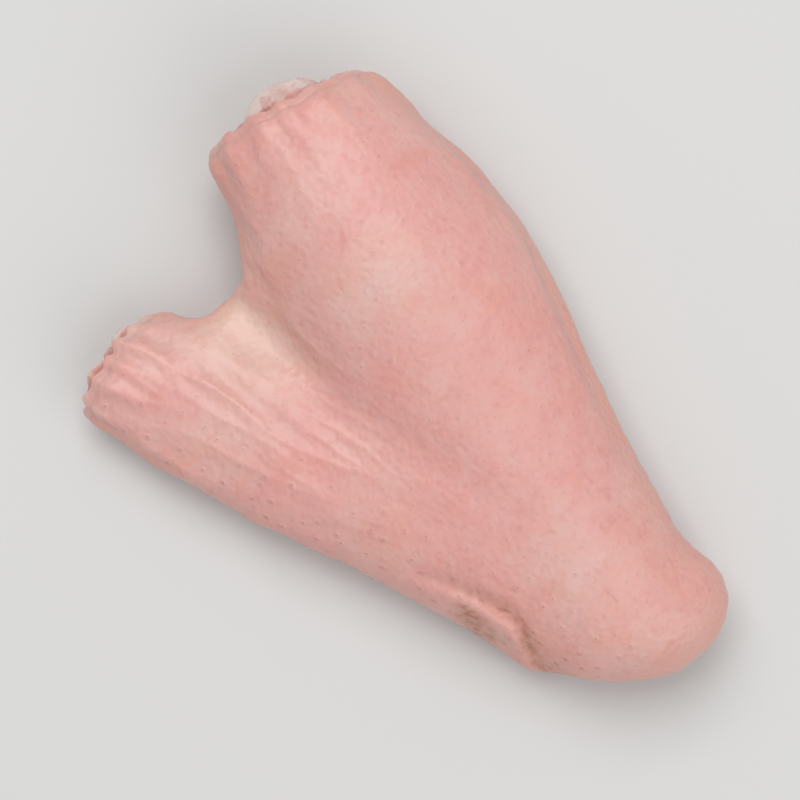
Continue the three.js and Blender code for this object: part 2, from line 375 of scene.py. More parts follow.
@dataclass
class WingForm:
    """The smooth form of the whole wing, as a distance that is negative inside it. Sizes are in mm."""

    drumette: Limb = Limb(
        start=(4.2, -39.4, 10.0), angle_deg=9.0, length=86.0, tip_height=11.8, slant=(-0.12, -0.1),
        half_width=Taper(10.3, 13.2, 5.6, 1.45), half_thickness=Taper(10.2, 11.8, 2.8, 1.6))
    flat: Limb = Limb(
        start=(-1.0, -34.2, 9.2), angle_deg=-18.0, length=76.0, tip_height=6.4, slant=(0.1, -0.15),
        half_width=Taper(10.0, 9.4, 1.6, 1.6), half_thickness=Taper(9.6, 6.8, 0.6, 1.0))
    skin_roll: Limb = Limb(
        start=(-9.2, -33.0, 5.8), angle_deg=-11.0, length=60.0, tip_height=3.8, slant=(0.0, 0.0),
        half_width=Taper(4.2, 1.8, 0.4, 1.0), half_thickness=Taper(3.4, 1.8, 0.6, 1.0))
    crease: Crease = Crease()
    web: Web = Web()
    knob: Place = (8.0, -42.4, 9.8)
    knob_radius: float = 7.0
    knob_blend: float = 3.0
    limb_blend: float = 5.0
    web_blend: float = 7.0
    roll_blend: float = 4.0
    floor_rounding: float = 1.6
    cut_opening: Pair = (0.86, 0.7)
    cut_below: Pair = (-4.0, -1.5)

    def __post_init__(self) -> None:
        """Sets the web's place and the plane through the elbow and both cuts, which the core follows too."""
        self.elbow = (self.drumette.origin + self.flat.origin) / 2.0
        self.web_middle = (self.drumette.tip[0] + self.flat.tip[0]) / 2.0
        self.web_end = self.web_edge(self.web_middle)
        self.plane = unit(np.cross(self.drumette.tip - self.elbow, self.flat.tip - self.elbow))

    def bone_height(self, x: Array, y: Array) -> Array:
        """Height of the plane of the bones over places in plan."""
        across = self.plane[0] * (x - self.elbow[0]) + self.plane[1] * (y - self.elbow[1])
        return self.elbow[2] - across / self.plane[2]

    def web_edge(self, x: Array) -> Array:
        """The y of the web's free edge at each x: a shallow sloping arc."""
        web, across = self.web, x - self.web_middle
        return self.elbow[1] + web.reach + web.edge_slope * across + web.edge_curve * across ** 2

    def web_thinness(self, points: Array) -> Array:
        """0 where muscle fills the web near the elbow, 1 where it is bare skin."""
        away = np.hypot(points[..., 0] - self.elbow[0], points[..., 1] - self.elbow[1])
        return ease(*self.web.muscle, away)

    def web_distance(self, points: Array) -> Array:
        """How far points lie outside the web.

        The web is a sheet over the plane of the bones with a round edge. It thins, gathers and ruffles
        towards its free edge, and its other edges lie inside the limbs and short of the elbow.

        Args:
            points: places in mm, (..., 3).

        Returns:
            The distance in mm, negative inside.
        """
        web = self.web
        x, y, z = points[..., 0], points[..., 1], points[..., 2]
        spread = np.arctan2(x - self.elbow[0], y - self.elbow[1])
        thin = self.web_thinness(points)
        half = web.half_thickness[0] + (web.half_thickness[1] - web.half_thickness[0]) * thin
        ruffle = web.ruffle_at(x, thin)
        past_edge = y - self.web_edge(x) + half + web.ruffle_out * ruffle
        past_drumette = web.inset * half - (points - self.drumette.origin) @ self.drumette.inwards
        past_flat = web.inset * half - (points - self.flat.origin) @ self.flat.inwards
        beside = smooth_max(past_drumette, past_flat, web.corner_rounding)
        before = smooth_max(beside, self.elbow[1] + web.start - y, web.corner_rounding)
        outside = smooth_max(past_edge, before, web.edge_rounding)
        gather = web.gather_depth * thin * np.cos(web.gathers * spread)
        above = z - self.bone_height(x, y) - web.rise - gather - web.ruffle_up * ruffle * thin
        return np.hypot(np.maximum(outside, 0.0), above) - half

    def cut_share(self, limb: Limb, points: Array) -> Array:
        """Which points lie on the open middle of a limb's cut, inside the lip of skin.

        Args:
            limb: the limb.
            points: places in mm, (..., 3).

        Returns:
            1 on the opening and 0 elsewhere, eased between them.
        """
        along, across, upwards = limb.coordinates(points)
        out = np.hypot(across / limb.half_width.cut, upwards / limb.half_thickness.cut)
        past_cut = limb.past_cut(along, across, upwards)
        return ease(*self.cut_opening, out) * ease(*self.cut_below, past_cut)

    def distance(self, points: Array) -> Array:
        """How far points lie outside the whole wing.

        Both limbs, the elbow's knob, the web and the roll of skin run into each other by smooth unions. The
        crease sinks into them, and the plane z = 0 cuts them off where the wing rests.

        Args:
            points: places in mm, (..., 3).

        Returns:
            The distance in mm, negative inside.
        """
        limbs = smooth_min(self.drumette.distance(points), self.flat.distance(points), self.limb_blend)
        knob = np.linalg.norm(points - np.array(self.knob), axis=-1) - self.knob_radius
        flesh = smooth_min(limbs, knob, self.knob_blend)
        flesh = smooth_min(flesh, self.web_distance(points), self.web_blend)
        skinned = smooth_min(flesh, self.skin_roll.distance(points), self.roll_blend)
        skinned = skinned + self.crease.depth_at(self.flat, points)
        return smooth_max(skinned, -points[..., 2], self.floor_rounding)

    def normals(self, points: Array, step: float = 0.05) -> Array:
        """Outward directions: the distance's rise over a short step along each axis, made unit length.

        Args:
            points: places in mm, (..., 3).
            step: the step in mm.

        Returns:
            Unit vectors, (..., 3).
        """
        here = self.distance(points)
        rises = [self.distance(points + step * axis) - here for axis in np.eye(3)]
        return unit(np.stack(rises, axis=-1))

    def surface(self, origins: Array, directions: Array, reach: float = 40.0, halvings: int = 26) -> Array:
        """Where rays from inside leave the form, found by halving.

        Args:
            origins: points inside the wing, (..., 3).
            directions: unit vectors, (..., 3).
            reach: how far out the search starts, in mm.
            halvings: how often the stretch is halved.

        Returns:
            The surface points, (..., 3).
        """
        inside = np.zeros(origins.shape[:-1])
        outside = np.full(origins.shape[:-1], reach)
        for _ in range(halvings):
            middle = (inside + outside) / 2.0
            within = self.distance(origins + middle[..., None] * directions) < 0.0
            inside = np.where(within, middle, inside)
            outside = np.where(within, outside, middle)
        return origins + inside[..., None] * directions


# Meshes


@dataclass
class Placing:
    """Moves forms from the wing's working place to the frame, where its box is centred on the origin."""

    low: Array
    high: Array
    shift: Array = field(default_factory=lambda: np.zeros(3))

    def fit(self, points: Array) -> None:
        """Sets the shift that centres the points' box on the CAD box in plan and stands it on its base.

        Args:
            points: all that the box has to hold, (n, 3).
        """
        low, high = points.min(axis=0), points.max(axis=0)
        aside = (self.low + self.high) / 2.0 - (low + high) / 2.0
        self.shift = np.array([*aside[:2], self.low[2] - low[2]])

    def squeeze(self, points: Array) -> Array:
        """Scales points by a hair along each axis, towards the middle of the CAD box's base, until they fit.

        Args:
            points: places in mm, (n, 3).

        Returns:
            The scaled points, still in the working place.
        """
        base = np.array([*(self.low + self.high)[:2] / 2.0, self.low[2]])
        placed = points + self.shift - base
        over = np.abs(placed).max(axis=0) / (self.high - base)
        return base + placed / np.maximum(over, 1.0) - self.shift

    def metres(self, points: Array) -> Array:
        """The points in the frame, kept in the CAD box, in metres."""
        return np.clip(points + self.shift, self.low, self.high) * MM


def grid_faces(rows: int, columns: int) -> Array:
    """Quads of a grid of vertices numbered row by row, whose last column joins the first.

    Each takes a vertex, the next in its row and the two above them, so that it faces out where columns turn
    left and rows climb.

    Args:
        rows: how many rows of vertices.
        columns: how many vertices a row has.

    Returns:
        Vertex numbers, (quads, 4).
    """
    row, column = np.meshgrid(np.arange(rows - 1), np.arange(columns), indexing="ij")
    low, high, beside = row * columns, (row + 1) * columns, (column + 1) % columns
    return np.stack([low + column, low + beside, high + beside, high + column], axis=-1).reshape(-1, 4)


def show(name: str, data: bpy.types.ID) -> Piece:
    """Makes an object at the origin and links it into the scene.

    Args:
        name: the object's name.
        data: its mesh, light or camera.

    Returns:
        The object.
    """
    thing = bpy.data.objects.new(name, data)
    bpy.context.scene.collection.objects.link(thing)
    return thing


def make_sheet(name: str, points: Array, faces: Array, finish: Material) -> Piece:
    """Puts a surface into a smooth-shaded object.

    Args:
        name: the piece's name.
        points: vertices in metres, (n, 3).
        faces: quads as vertex numbers, (m, 4).
        finish: the material.

    Returns:
        The object.
    """
    mesh = bpy.data.meshes.new(name)
    mesh.from_pydata(points.tolist(), [], faces.tolist())
    mesh.validate()
    mesh.polygons.foreach_set("use_smooth", np.ones(len(mesh.polygons), dtype=bool))
    mesh.materials.append(finish)
    mesh.update()
    return show(name, mesh)


def make_shell(
    name: str,
    placing: Placing,
    grid: Array,
    finish: Material,
    measures: dict[str, Array],
    chart: Array | None = None,
) -> Piece:
    """Makes a closed piece from rows and columns of points.

    Args:
        name: the piece's name.
        placing: where forms go.
        grid: points in mm, (rows, columns, 3).
        finish: the material.
        measures: one number for each point, under each name that the finish reads.
        chart: flat places in mm for the UV map, (rows, columns, 2).

    Returns:
        The object.
    """
    piece = make_sheet(name, placing.metres(grid.reshape(-1, 3)), grid_faces(*grid.shape[:2]), finish)
    if chart is not None:
        corners = np.empty(len(piece.data.loops), dtype=np.int32)
        piece.data.loops.foreach_get("vertex_index", corners)
        layer = piece.data.uv_layers.new(name="skin_mm")
        layer.data.foreach_set("uv", chart.reshape(-1, 2)[corners].astype(np.float32).ravel())
    for measure, values in measures.items():
        layer = piece.data.attributes.new(measure, "FLOAT", "POINT")
        layer.data.foreach_set("value", values.astype(np.float32).ravel())
    close_poles(piece)
    return piece


def close_poles(piece: Piece, gap: float = 2e-6) -> None:
    """Merges vertices that lie on the same place, which closes seams and poles, and turns all faces out.

    Args:
        piece: the piece.
        gap: how near vertices lie that are merged, in metres.
    """
    work = bmesh.new()
    work.from_mesh(piece.data)
    bmesh.ops.remove_doubles(work, verts=work.verts, dist=gap)
    bmesh.ops.dissolve_degenerate(work, edges=work.edges, dist=gap / 2.0)
    bmesh.ops.recalc_face_normals(work, faces=work.faces)
    work.to_mesh(piece.data)
    work.free()
    piece.data.update()


# Finishes


def linear(colour: str) -> tuple[float, float, float, float]:
    """An sRGB hex colour turned linear by the sRGB curve.

    Args:
        colour: the colour as #rrggbb.

    Returns:
        Red, green, blue and alpha, 0 to 1.
    """
    parts = [int(colour[i:i + 2], 16) / 255.0 for i in (1, 3, 5)]
    lit = [c / 12.92 if c <= 0.04045 else ((c + 0.055) / 1.055) ** 2.4 for c in parts]
    return (lit[0], lit[1], lit[2], 1.0)


def per_metre(size_mm: float) -> float:
    """The texture scale on Object coordinates whose features are so many millimetres wide."""
    return 1.0 / (size_mm * MM)


def add(tree: Tree, kind: str, gives: str, inputs: Inputs, **settings: object) -> Socket | None:
    """Adds a node with its settings and links.

    Args:
        tree: the material's node tree.
        kind: the node's type without the leading ShaderNode.
        gives: identifier or name of the output that is wanted, empty for none.
        inputs: socket identifier or name to a value, or to the output socket that feeds it.
        settings: the node's own properties.

    Returns:
        The output socket.
    """
    node = tree.nodes.new("ShaderNode" + kind)
    for name, value in settings.items():
        setattr(node, name, value)
    for name, value in inputs.items():
        socket = next(s for s in node.inputs if name in (s.identifier, s.name))
        if isinstance(value, bpy.types.NodeSocket):
            tree.links.new(value, socket)
        else:
            socket.default_value = value
    return next((s for s in node.outputs if gives in (s.identifier, s.name)), None)


def shade(ramp: Socket, stops: tuple[tuple[float, str], ...]) -> None:
    """Sets a colour ramp's stops.

    Args:
        ramp: the ramp's output.
        stops: each colour with its place on the ramp.
    """
    elements = ramp.node.color_ramp.elements
    while len(elements) < len(stops):
        elements.new(1.0)
    for element, (place, colour) in zip(elements, stops):
        element.position = place
        element.color = linear(colour)


def bend(tree: Tree, place: Socket, scale: float, detail: float, reach: Place, **settings: object) -> Socket:
    """Bends a pattern's coordinates, so that it isn't regular: noise colours times a reach, plus the place.

    Args:
        tree: the material's node tree.
        place: the coordinates.
        scale: the noise's scale.
        detail: the noise's detail.
        reach: how far the noise moves a place along each axis.
        settings: the noise node's own properties.

    Returns:
        The bent coordinates.
    """
    stray = add(tree, "TexNoise", "Color", {"Vector": place, "Scale": scale, "Detail": detail}, **settings)
    pushed = {"Vector": stray, "Vector_001": reach, "Vector_002": place}
    return add(tree, "VectorMath", "Vector", pushed, operation="MULTIPLY_ADD")


class Easing(Enum):
    """How a share runs between its ends."""

    STRAIGHT = "LINEAR"
    SMOOTH = "SMOOTHSTEP"
    SMOOTHER = "SMOOTHERSTEP"


@dataclass(frozen=True)
class Tint:
    """A colour laid over what is below it where a pattern runs from its start to its end.

    The share of the colour eases or runs straight between its least and its most, and a measure of the piece
    may scale it.
    """

    colour: str
    span: Pair
    share: Pair
    measure: str = ""
    easing: Easing = Easing.STRAIGHT

    def over(self, tree: Tree, below: Socket, pattern: Socket) -> Socket:
        """Lays the colour over what is below.

        Args:
            tree: the material's node tree.
            below: the colour below.
            pattern: the pattern's value.

        Returns:
            The mixed colour.
        """
        names = ("Value", "From Min", "From Max", "To Min", "To Max")
        ends = dict(zip(names, (pattern, *self.span, *self.share)))
        share = add(tree, "MapRange", "Result", ends, interpolation_type=self.easing.value)
        if self.measure:
            here = add(tree, "Attribute", "Fac", {}, attribute_name=self.measure)
            share = add(tree, "Math", "Value", {"Value": here, "Value_001": share}, operation="MULTIPLY")
        layers = {"Factor_Float": share, "A_Color": below, "B_Color": linear(self.colour)}
        return add(tree, "Mix", "Result_Color", layers, data_type="RGBA")


class Finish(ABC):
    """A procedural finish, which has a title and works out what feeds its shader."""

    title: ClassVar[str]

    @abstractmethod
    def shading(self, tree: Tree, place: Socket) -> Inputs:
        """Adds the finish's own nodes.

        Args:
            tree: the material's node tree.
            place: the Object coordinates.

        Returns:
            The inputs of the principled shader.
        """

    def build(self) -> Material:
        """Builds the material from the finish's own nodes, a principled shader and the output.

        Returns:
            The material.
        """
        material = bpy.data.materials.new(self.title)
        material.use_nodes = True
        tree = material.node_tree
        tree.nodes.clear()
        place = add(tree, "TexCoord", "Object", {})
        shader = add(tree, "BsdfPrincipled", "BSDF", self.shading(tree, place))
        add(tree, "OutputMaterial", "", {"Surface": shader})
        return material


@dataclass(frozen=True)
class RawSkin(Finish):
    """Raw poultry skin: a thin moist hide over fat and pale flesh.

    It grew, was plucked wet and chilled, so it is soft pink with paler fatty clouds, rosier where the flesh
    lies close under it, pricked by follicles, and it lets light through and shines softly where it is moist.
    """

    title: ClassVar[str] = "raw poultry skin"
    rosy: str = "#dda39d"
    pink: str = "#dda9a2"
    pale: str = "#dcb3ab"
    # Warm tone for peach patches, the heel and the lips' edges, and painted bounce light on the sides
    warm: str = "#de9a86"
    fat: str = "#e2c4b2"
    # Brown for the crease, laid both as the skin's brown and as painted shade
    fold: str = "#b4745a"
    blush: str = "#d3908b"
    pore: str = "#b0746a"
    warp_mm: float = 9.0
    warp_reach: float = 5.0 * MM
    cloud_mm: float = 17.0
    peach_mm: float = 6.5
    mottle_mm: float = 3.4
    fleck_mm: float = 1.0
    damp_mm: float = 7.0
    pebble_mm: float = 1.1
    pebble_depth: float = 0.18 * MM
    wrinkle_mm: float = 1.9
    wrinkle_depth: float = 0.26 * MM
    follicle_mm: float = 3.7
    follicle_radius: float = 0.2
    follicle_height: float = 0.18 * MM
    pore_radius: float = 0.06
    stray_mm: float = 12.5
    stray_reach_mm: float = 3.0

    def shading(self, tree: Tree, place: Socket) -> Inputs:
        """Mottled colours, patches of damp gloss and raised follicles.

        Args:
            tree: the material's node tree.
            place: the Object coordinates.

        Returns:
            The inputs of the principled shader.
        """
        cell = self.follicle_cells(tree)
        wet = {"Vector": place, "Scale": per_metre(self.damp_mm), "Detail": 3.0}
        damp = add(tree, "TexNoise", "Fac", wet)
        gloss = {"Value": damp, "From Min": 0.3, "From Max": 0.7, "To Min": 0.36, "To Max": 0.5}
        return {
            "Base Color": self.colour(tree, place, cell),
            "Roughness": add(tree, "MapRange", "Result", gloss),
            "IOR": 1.42, "Coat Weight": 0.3, "Coat Roughness": 0.18, "Coat IOR": 1.34,
            "Subsurface Weight": 0.35, "Subsurface Radius": (1.0, 0.36, 0.24), "Subsurface Scale": 0.0022,
            "Normal": self.bumps(tree, place, cell),
        }

    def colour(self, tree: Tree, place: Socket, cell: Socket) -> Socket:
        """Clouds of rosy and pale skin under eight tints.

        From the lowest up these are peach patches, pale mottles, red mottles, red flecks, warm rims that on
        the sides are painted bounce light, fat behind the thin web, patchy brown in the crease that is partly
        painted shade, and a dark pore in each follicle.

        Args:
            tree: the material's node tree.
            place: the Object coordinates.
            cell: how far places lie from the nearest follicle, in cells.

        Returns:
            The colour.
        """
        bent = bend(tree, place, per_metre(self.warp_mm), 1.0, (self.warp_reach,) * 3)
        cloud, peach, mottle, fleck = (
            add(tree, "TexNoise", "Fac",
                {"Vector": at, "Scale": per_metre(size), "Detail": detail, "Roughness": roughness})
            for at, size, detail, roughness in (
                (bent, self.cloud_mm, 2.0, 0.5),
                (bent, self.peach_mm, 2.0, 0.5),
                (bent, self.mottle_mm, 3.0, 0.6),
                (place, self.fleck_mm, 2.0, 0.5)))
        colour = add(tree, "ValToRGB", "Color", {"Fac": cloud})
        shade(colour, ((0.34, self.rosy), (0.5, self.pink), (0.68, self.pale)))
        for pattern, tint in (
            (peach, Tint(self.warm, (0.5, 0.68), (0.0, 0.3))),
            (mottle, Tint(self.pale, (0.52, 0.72), (0.0, 0.45))),
            (mottle, Tint(self.blush, (0.47, 0.3), (0.0, 0.36))),
            (fleck, Tint(self.blush, (0.54, 0.7), (0.0, 0.3))),
            # Warm rims: painted bounce light on sideways slopes, with the skin's own warmth at the heel,
            # beside the crease and on the lips' fatty edges
            (mottle, Tint(self.warm, (0.3, 0.62), (0.25, 0.6), "rim")),
            (cloud, Tint(self.fat, (0.4, 0.6), (0.0, 0.6), "thin")),
            # Brown in the crease: partly the skin's own brown, partly painted crease shade and a painted
            # shadow on the roll's edge
            (fleck, Tint(self.fold, (0.36, 0.62), (0.5, 1.3), "crease")),
            (cell, Tint(self.pore, (self.pore_radius, 0.02), (0.0, 0.55), "follicle", Easing.SMOOTH)),
        ):
            colour = tint.over(tree, colour, pattern)
        return colour

    def follicle_cells(self, tree: Tree) -> Socket:
        """The follicles' cells on the skin's flat chart, which stray from their rows.

        Args:
            tree: the material's node tree.

        Returns:
            How far places lie from the nearest follicle, in cells.
        """
        chart = add(tree, "UVMap", "UV", {}, uv_map="skin_mm")
        reach = (self.stray_reach_mm, self.stray_reach_mm, 0.0)
        bent = bend(tree, chart, 1.0 / self.stray_mm, 0.0, reach, noise_dimensions="2D")
        cells = {"Vector": bent, "Scale": 1.0 / self.follicle_mm, "Randomness": 0.75}
        return add(tree, "TexVoronoi", "Distance", cells, voronoi_dimensions="2D")

    def bumps(self, tree: Tree, place: Socket, cell: Socket) -> Socket:
        """Follicle mounds, each with a shallow pit, on a pebbled skin with hair-thin wrinkles.

        Args:
            tree: the material's node tree.
            place: the Object coordinates.
            cell: how far places lie from the nearest follicle, in cells.

        Returns:
            The normal.
        """
        swell = {"Value": cell, "From Min": self.follicle_radius, "From Max": 0.0}
        mound = add(tree, "MapRange", "Result", swell, interpolation_type=Easing.SMOOTHER.value)
        dip = {"Value": cell, "From Min": self.pore_radius, "From Max": 0.0, "To Max": 0.6}
        pit = add(tree, "MapRange", "Result", dip, interpolation_type=Easing.SMOOTH.value)
        pricked = add(tree, "Math", "Value", {"Value": mound, "Value_001": pit}, operation="SUBTRACT")
        shown = add(tree, "Attribute", "Fac", {}, attribute_name="follicle")
        mounds = add(tree, "Math", "Value", {"Value": pricked, "Value_001": shown}, operation="MULTIPLY")
        pebbles = {"Vector": place, "Scale": per_metre(self.pebble_mm), "Smoothness": 0.6}
        pebble = add(tree, "TexVoronoi", "Distance", pebbles, feature="SMOOTH_F1")
        wrinkles = {"Vector": place, "Scale": per_metre(self.wrinkle_mm), "Detail": 3.0, "Distortion": 0.4}
        wrinkle = add(tree, "TexNoise", "Fac", wrinkles, noise_type="RIDGED_MULTIFRACTAL")
        pebbled = {"Strength": 0.7, "Distance": self.pebble_depth, "Height": pebble}
        fine = add(tree, "Bump", "Normal", pebbled, invert=True)
        lined = {"Strength": 0.6, "Distance": self.wrinkle_depth, "Height": wrinkle, "Normal": fine}
        wrinkled = add(tree, "Bump", "Normal", lined, invert=True)
        raised = {"Strength": 0.8, "Distance": self.follicle_height, "Height": mounds, "Normal": wrinkled}
        return add(tree, "Bump", "Normal", raised)


@dataclass(frozen=True)
class CutFlesh(Finish):
    """Raw poultry flesh, cut across by a knife: wet bundles of fibre in thin pale sheaths."""

    title: ClassVar[str] = "cut poultry flesh"
    deep: str = "#b4605a"
    pink: str = "#cb7c74"
    light: str = "#d99a8f"
    sheath: str = "#e6c0b2"
    bundle_mm: float = 0.9
    bundle_depth: float = 0.3 * MM
    stray_mm: float = 2.2
    stray_reach: float = 1.6 * MM
    cloud_mm: float = 3.0

    def shading(self, tree: Tree, place: Socket) -> Inputs:
        """Clouded flesh with pale broken lines between its bundles and pale seams between its muscles.

        Args:
            tree: the material's node tree.
            place: the Object coordinates.

        Returns:
            The inputs of the principled shader.
        """
        bent = bend(tree, place, per_metre(self.stray_mm), 2.0, (self.stray_reach,) * 3)
        cells = {"Vector": bent, "Scale": per_metre(self.bundle_mm)}
        bundle = add(tree, "TexVoronoi", "Distance", cells, feature="DISTANCE_TO_EDGE")
        clouds = {"Vector": place, "Scale": per_metre(self.cloud_mm), "Detail": 4.0}
        cloud = add(tree, "TexNoise", "Fac", clouds)
        flesh = add(tree, "ValToRGB", "Color", {"Fac": cloud})
        shade(flesh, ((0.34, self.deep), (0.52, self.pink), (0.68, self.light)))
        edge = {"Value": bundle, "From Min": 0.14, "From Max": 0.0, "To Max": 0.26}
        line = add(tree, "MapRange", "Result", edge, interpolation_type=Easing.SMOOTH.value)
        broken = add(tree, "Math", "Value", {"Value": line, "Value_001": cloud}, operation="MULTIPLY")
        seam = add(tree, "Attribute", "Fac", {}, attribute_name="sheath")
        pale = add(tree, "Math", "Value", {"Value": broken, "Value_001": seam}, operation="MAXIMUM")
        layers = {"Factor_Float": pale, "A_Color": flesh, "B_Color": linear(self.sheath)}
        grain = {"Strength": 0.6, "Distance": self.bundle_depth, "Height": bundle}
        return {
            "Base Color": add(tree, "Mix", "Result_Color", layers, data_type="RGBA"),
            "Roughness": 0.3, "IOR": 1.4, "Coat Weight": 0.4, "Coat Roughness": 0.12,
            "Subsurface Weight": 0.35, "Subsurface Radius": (1.0, 0.3, 0.2), "Subsurface Scale": 0.002,
            "Normal": add(tree, "Bump", "Normal", grain),
        }


@dataclass(frozen=True)
class Cartilage(Finish):
    """Joint cartilage: a smooth wet cap, pearly white, stained pink where the flesh was cut from it."""

    title: ClassVar[str] = "joint cartilage"
    pearl: str = "#dfcac4"
    fatty: str = "#e2c9b3"
    stain: str = "#c77f76"
    cloud_mm: float = 4.0
    smear_mm: float = 2.3
    dent_depth: float = 0.4 * MM

    def shading(self, tree: Tree, place: Socket) -> Inputs:
        """Pearl on the cap, the stain below it, and patches of fat and smears of the stain over both.

        Args:
            tree: the material's node tree.
            place: the Object coordinates.

        Returns:
            The inputs of the principled shader.
        """
        clouds = {"Vector": place, "Scale": per_metre(self.cloud_mm), "Detail": 4.0}
        cloud = add(tree, "TexNoise", "Fac", clouds)
        smears = {"Vector": place, "Scale": per_metre(self.smear_mm), "Detail": 3.0, "Distortion": 0.6}
        smear = add(tree, "TexNoise", "Fac", smears)
        cap = add(tree, "Attribute", "Fac", {}, attribute_name="cap")
        uneven = {"Value": cloud, "From Min": 0.34, "From Max": 0.62, "To Min": -0.45, "To Max": 0.35}
        bare = add(tree, "MapRange", "Result", uneven)
        both = {"Value": cap, "Value_001": bare}
        share = add(tree, "Math", "Value", both, operation="ADD", use_clamp=True)
        layers = {"Factor_Float": share, "A_Color": linear(self.stain), "B_Color": linear(self.pearl)}
        stained = add(tree, "Mix", "Result_Color", layers, data_type="RGBA")
        greasy = Tint(self.fatty, (0.5, 0.7), (0.0, 0.6)).over(tree, stained, smear)
        smeared = Tint(self.stain, (0.42, 0.3), (0.0, 0.45), easing=Easing.SMOOTH).over(tree, greasy, smear)
        dent = {"Strength": 0.5, "Distance": self.dent_depth, "Height": smear}
        return {
            "Base Color": smeared,
            "Roughness": 0.26, "IOR": 1.42, "Coat Weight": 0.35, "Coat Roughness": 0.12,
            "Subsurface Weight": 0.4, "Subsurface Radius": (1.0, 0.6, 0.5), "Subsurface Scale": 0.0018,
            "Normal": add(tree, "Bump", "Normal", dent),
        }


@dataclass(frozen=True)
class PaleFloor(Finish):
    """A matte painted board, pale and even."""

    title: ClassVar[str] = "matte floor paint"
    paint: str = "#d3d3d2"
    grain_mm: float = 1.5
    grain_depth: float = 0.05 * MM

    def shading(self, tree: Tree, place: Socket) -> Inputs:
        """Even paint with a faint roller grain.

        Args:
            tree: the material's node tree.
            place: the Object coordinates.

        Returns:
            The inputs of the principled shader.
        """
        grains = {"Vector": place, "Scale": per_metre(self.grain_mm), "Detail": 2.0}
        grain = add(tree, "TexNoise", "Fac", grains)
        bump = add(tree, "Bump", "Normal", {"Strength": 0.1, "Distance": self.grain_depth, "Height": grain})
        return {"Base Color": linear(self.paint), "Roughness": 0.7, "Normal": bump}


# Pieces of the wing


@dataclass(frozen=True)
class LimbFolds:
    """Wrinkles in rings, puckers at the cut and slack folds before it, in mm along a limb.

    A wander is the width and the height of its noise. A run is how far before the cut it comes and is full.
    """

    skin_depth: float = 3.0
    wrinkle_size: Place = (2.6, 13.0, 13.0)
    wrinkle_height: float = 0.1
    wrinkle_wander: Pair = (11.0, 1.6)
    wrinkle_least: float = 0.35
    elbow_end: Pair = (46.0, 6.0)
    low_side: Pair = (17.0, 11.0)
    low_gain: float = 0.8
    puckers: float = 13.0
    pucker_height: float = 0.22
    pucker_wander: Pair = (8.0, 2.0)
    pucker_run: Pair = (11.0, 2.0)
    fold_height: float = 0.3
    fold_size: Place = (1.0 / 2.1, 1.0 / 2.1, 24.0)
    fold_run: Pair = (32.0, 8.0)

    def height(self, limb: Limb, points: Array, seed: int) -> Array:
        """How far one limb's wrinkles, puckers and folds stand out.

        Wrinkles are ridges that repeat along the bone and wander by noise, most at the elbow and low on the
        sides. Puckers are a sine round the bone, and slack folds are ridges that run along it.

        Args:
            limb: the limb.
            points: places on the smooth form, (..., 3).
            seed: picks the noise.

        Returns:
            The height in mm, none away from the limb.
        """
        along, across, upwards = limb.coordinates(points)
        turn = np.arctan2(upwards, across)
        bent = along + self.wrinkle_wander[1] * noise(points / self.wrinkle_wander[0], seed + 20)
        rings = np.stack([bent, across, upwards], axis=-1)
        wrinkled = self.wrinkle_least + ease(*self.elbow_end, along)
        beside = 1.0 + self.low_gain * ease(*self.low_side, points[..., 2])
        wrinkles = self.wrinkle_height * beside * wrinkled * ridges(rings, self.wrinkle_size, seed)
        phase = self.pucker_wander[1] * noise(points / self.pucker_wander[0], seed + 30)
        at_cut = ease(limb.reach - self.pucker_run[0], limb.reach - self.pucker_run[1], along)
        puckers = self.pucker_height * at_cut * np.sin(turn * self.puckers + phase)
        slack_end = ease(limb.reach - self.fold_run[0], limb.reach - self.fold_run[1], along)
        folds = self.fold_height * slack_end * ridges(on_circle(turn, along), self.fold_size, seed + 40)
        return ease(self.skin_depth, 0.0, limb.distance(points)) * (wrinkles + puckers + folds)


